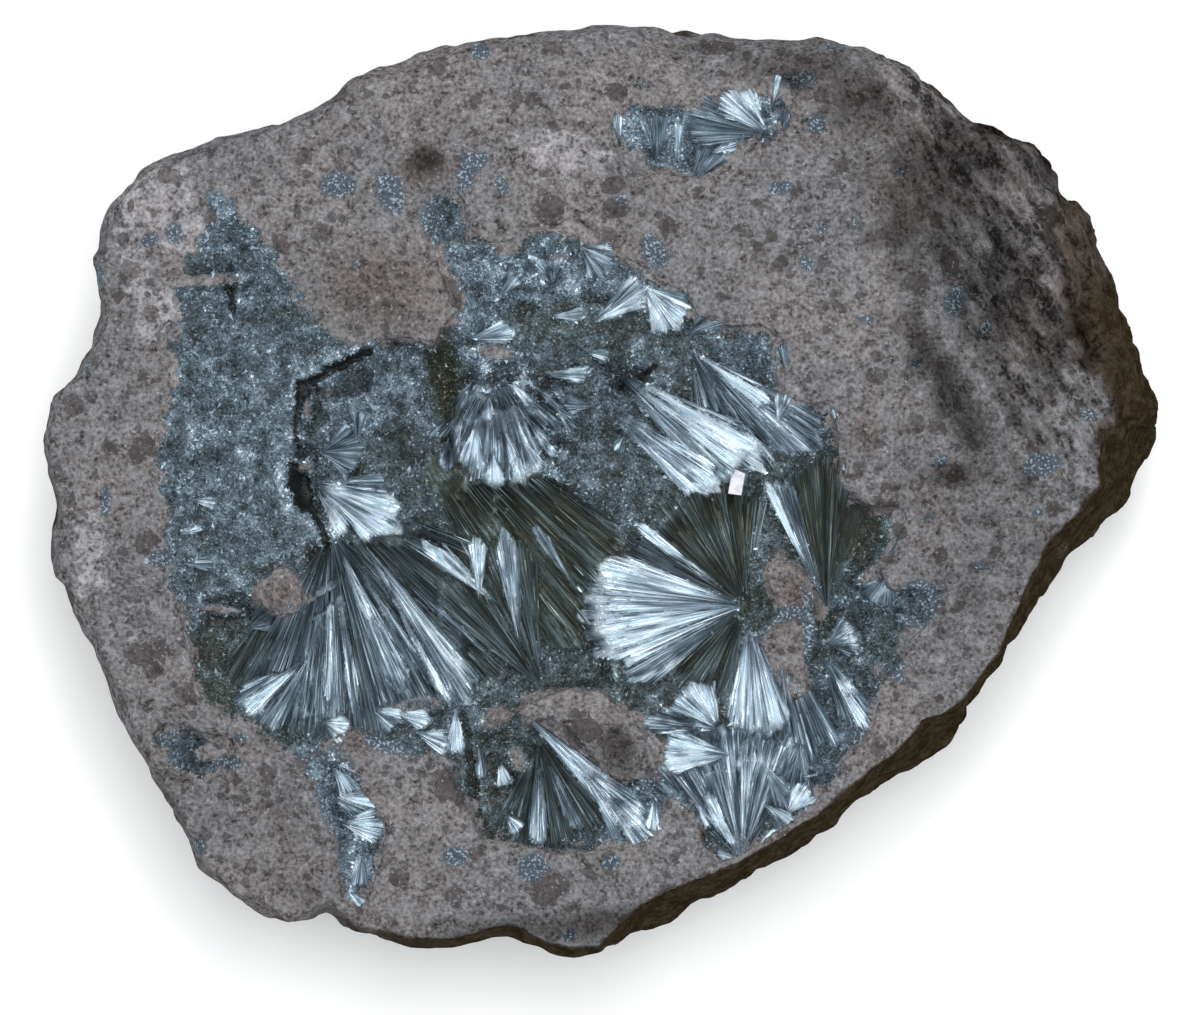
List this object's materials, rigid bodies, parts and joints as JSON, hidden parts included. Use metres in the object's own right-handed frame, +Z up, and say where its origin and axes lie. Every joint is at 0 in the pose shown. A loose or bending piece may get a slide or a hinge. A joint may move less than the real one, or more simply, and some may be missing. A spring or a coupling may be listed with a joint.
{
  "type": "pyrolusite mineral specimen",
  "caption": "Loose block of granular volcanic rock, lying on its flat broken base, with a vein of pyrolusite in radiating silvery sprays and granular crust across its upper face.",
  "frame": {"origin": "middle of the bounding box, on the flat base", "axes": "+Z up, out of the face that carries the crystals; +X along the longest side, towards the pointed end of the block; +Y towards the side nearest the small separate spray"},
  "size_m": [0.14, 0.117, 0.0493],
  "materials": {
    "matrix_rock": "matt, granular grey-mauve volcanic rock with dark and pale grains, brown clasts and a brown weathered side",
    "pyrolusite": "metallic steel-grey to silvery fibrous crystal, finely ribbed along the blades, darker and granular between the sprays"
  },
  "bodies": {
    "root": {"matrix": "matrix_rock", "main_vein": "pyrolusite", "upper_spray": "pyrolusite", "left_patch": "pyrolusite"}
  },
  "joints": []
}
